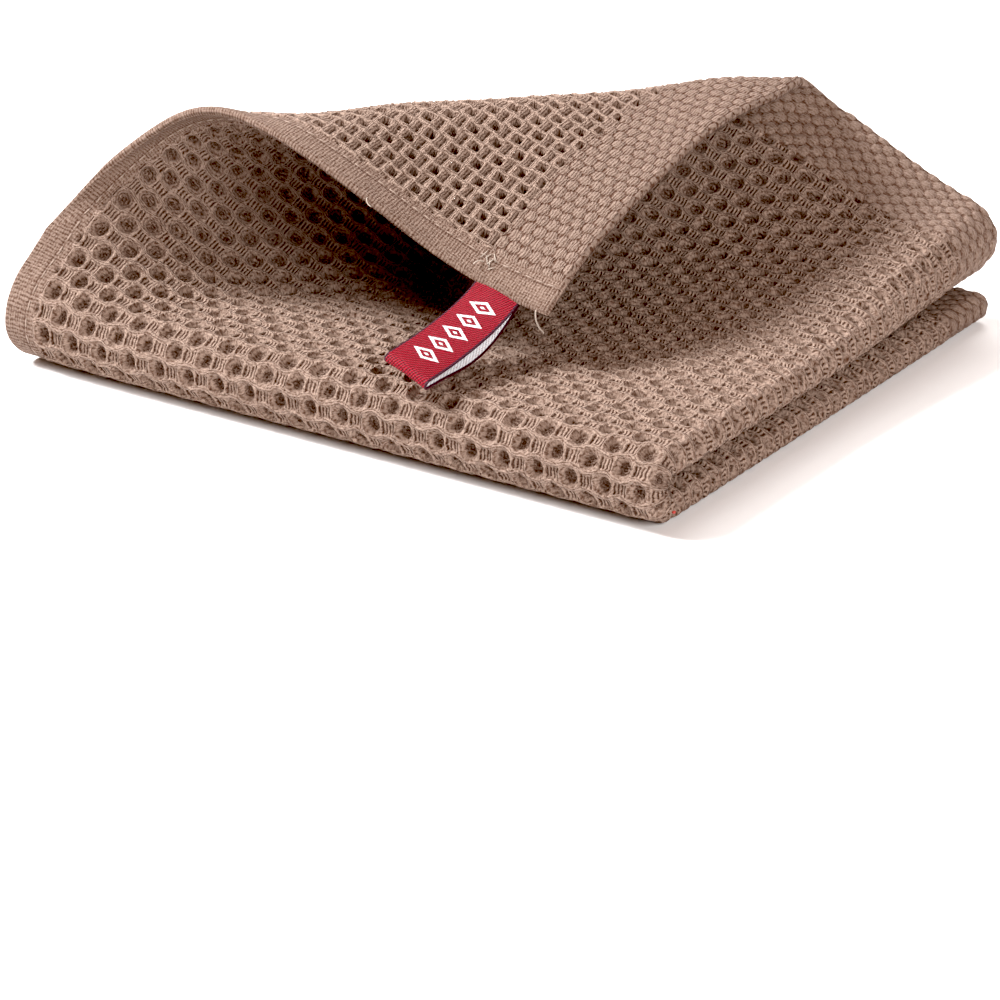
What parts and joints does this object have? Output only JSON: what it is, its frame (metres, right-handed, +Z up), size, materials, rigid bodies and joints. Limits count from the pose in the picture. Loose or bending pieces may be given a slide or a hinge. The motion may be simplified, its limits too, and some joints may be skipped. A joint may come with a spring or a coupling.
{
  "type": "car wash towel",
  "caption": "Waffle-weave cotton cleaning cloth folded in four, its free corner rolled back, with a looped label in the hem.",
  "frame": {"origin": "middle of the folded towel's box, on the surface it lies on", "axes": "+X to the right along the front fold, +Y away from the front fold, +Z up through the layers"},
  "size_m": [0.1526, 0.134, 0.0551],
  "materials": {
    "waffle_cotton": "deep waffle weave in thick soft cotton yarn, matt",
    "label_satin": "red woven satin tape with a white back, slight sheen"
  },
  "bodies": {
    "root": {"cloth": "waffle_cotton", "label": "label_satin"}
  },
  "joints": []
}
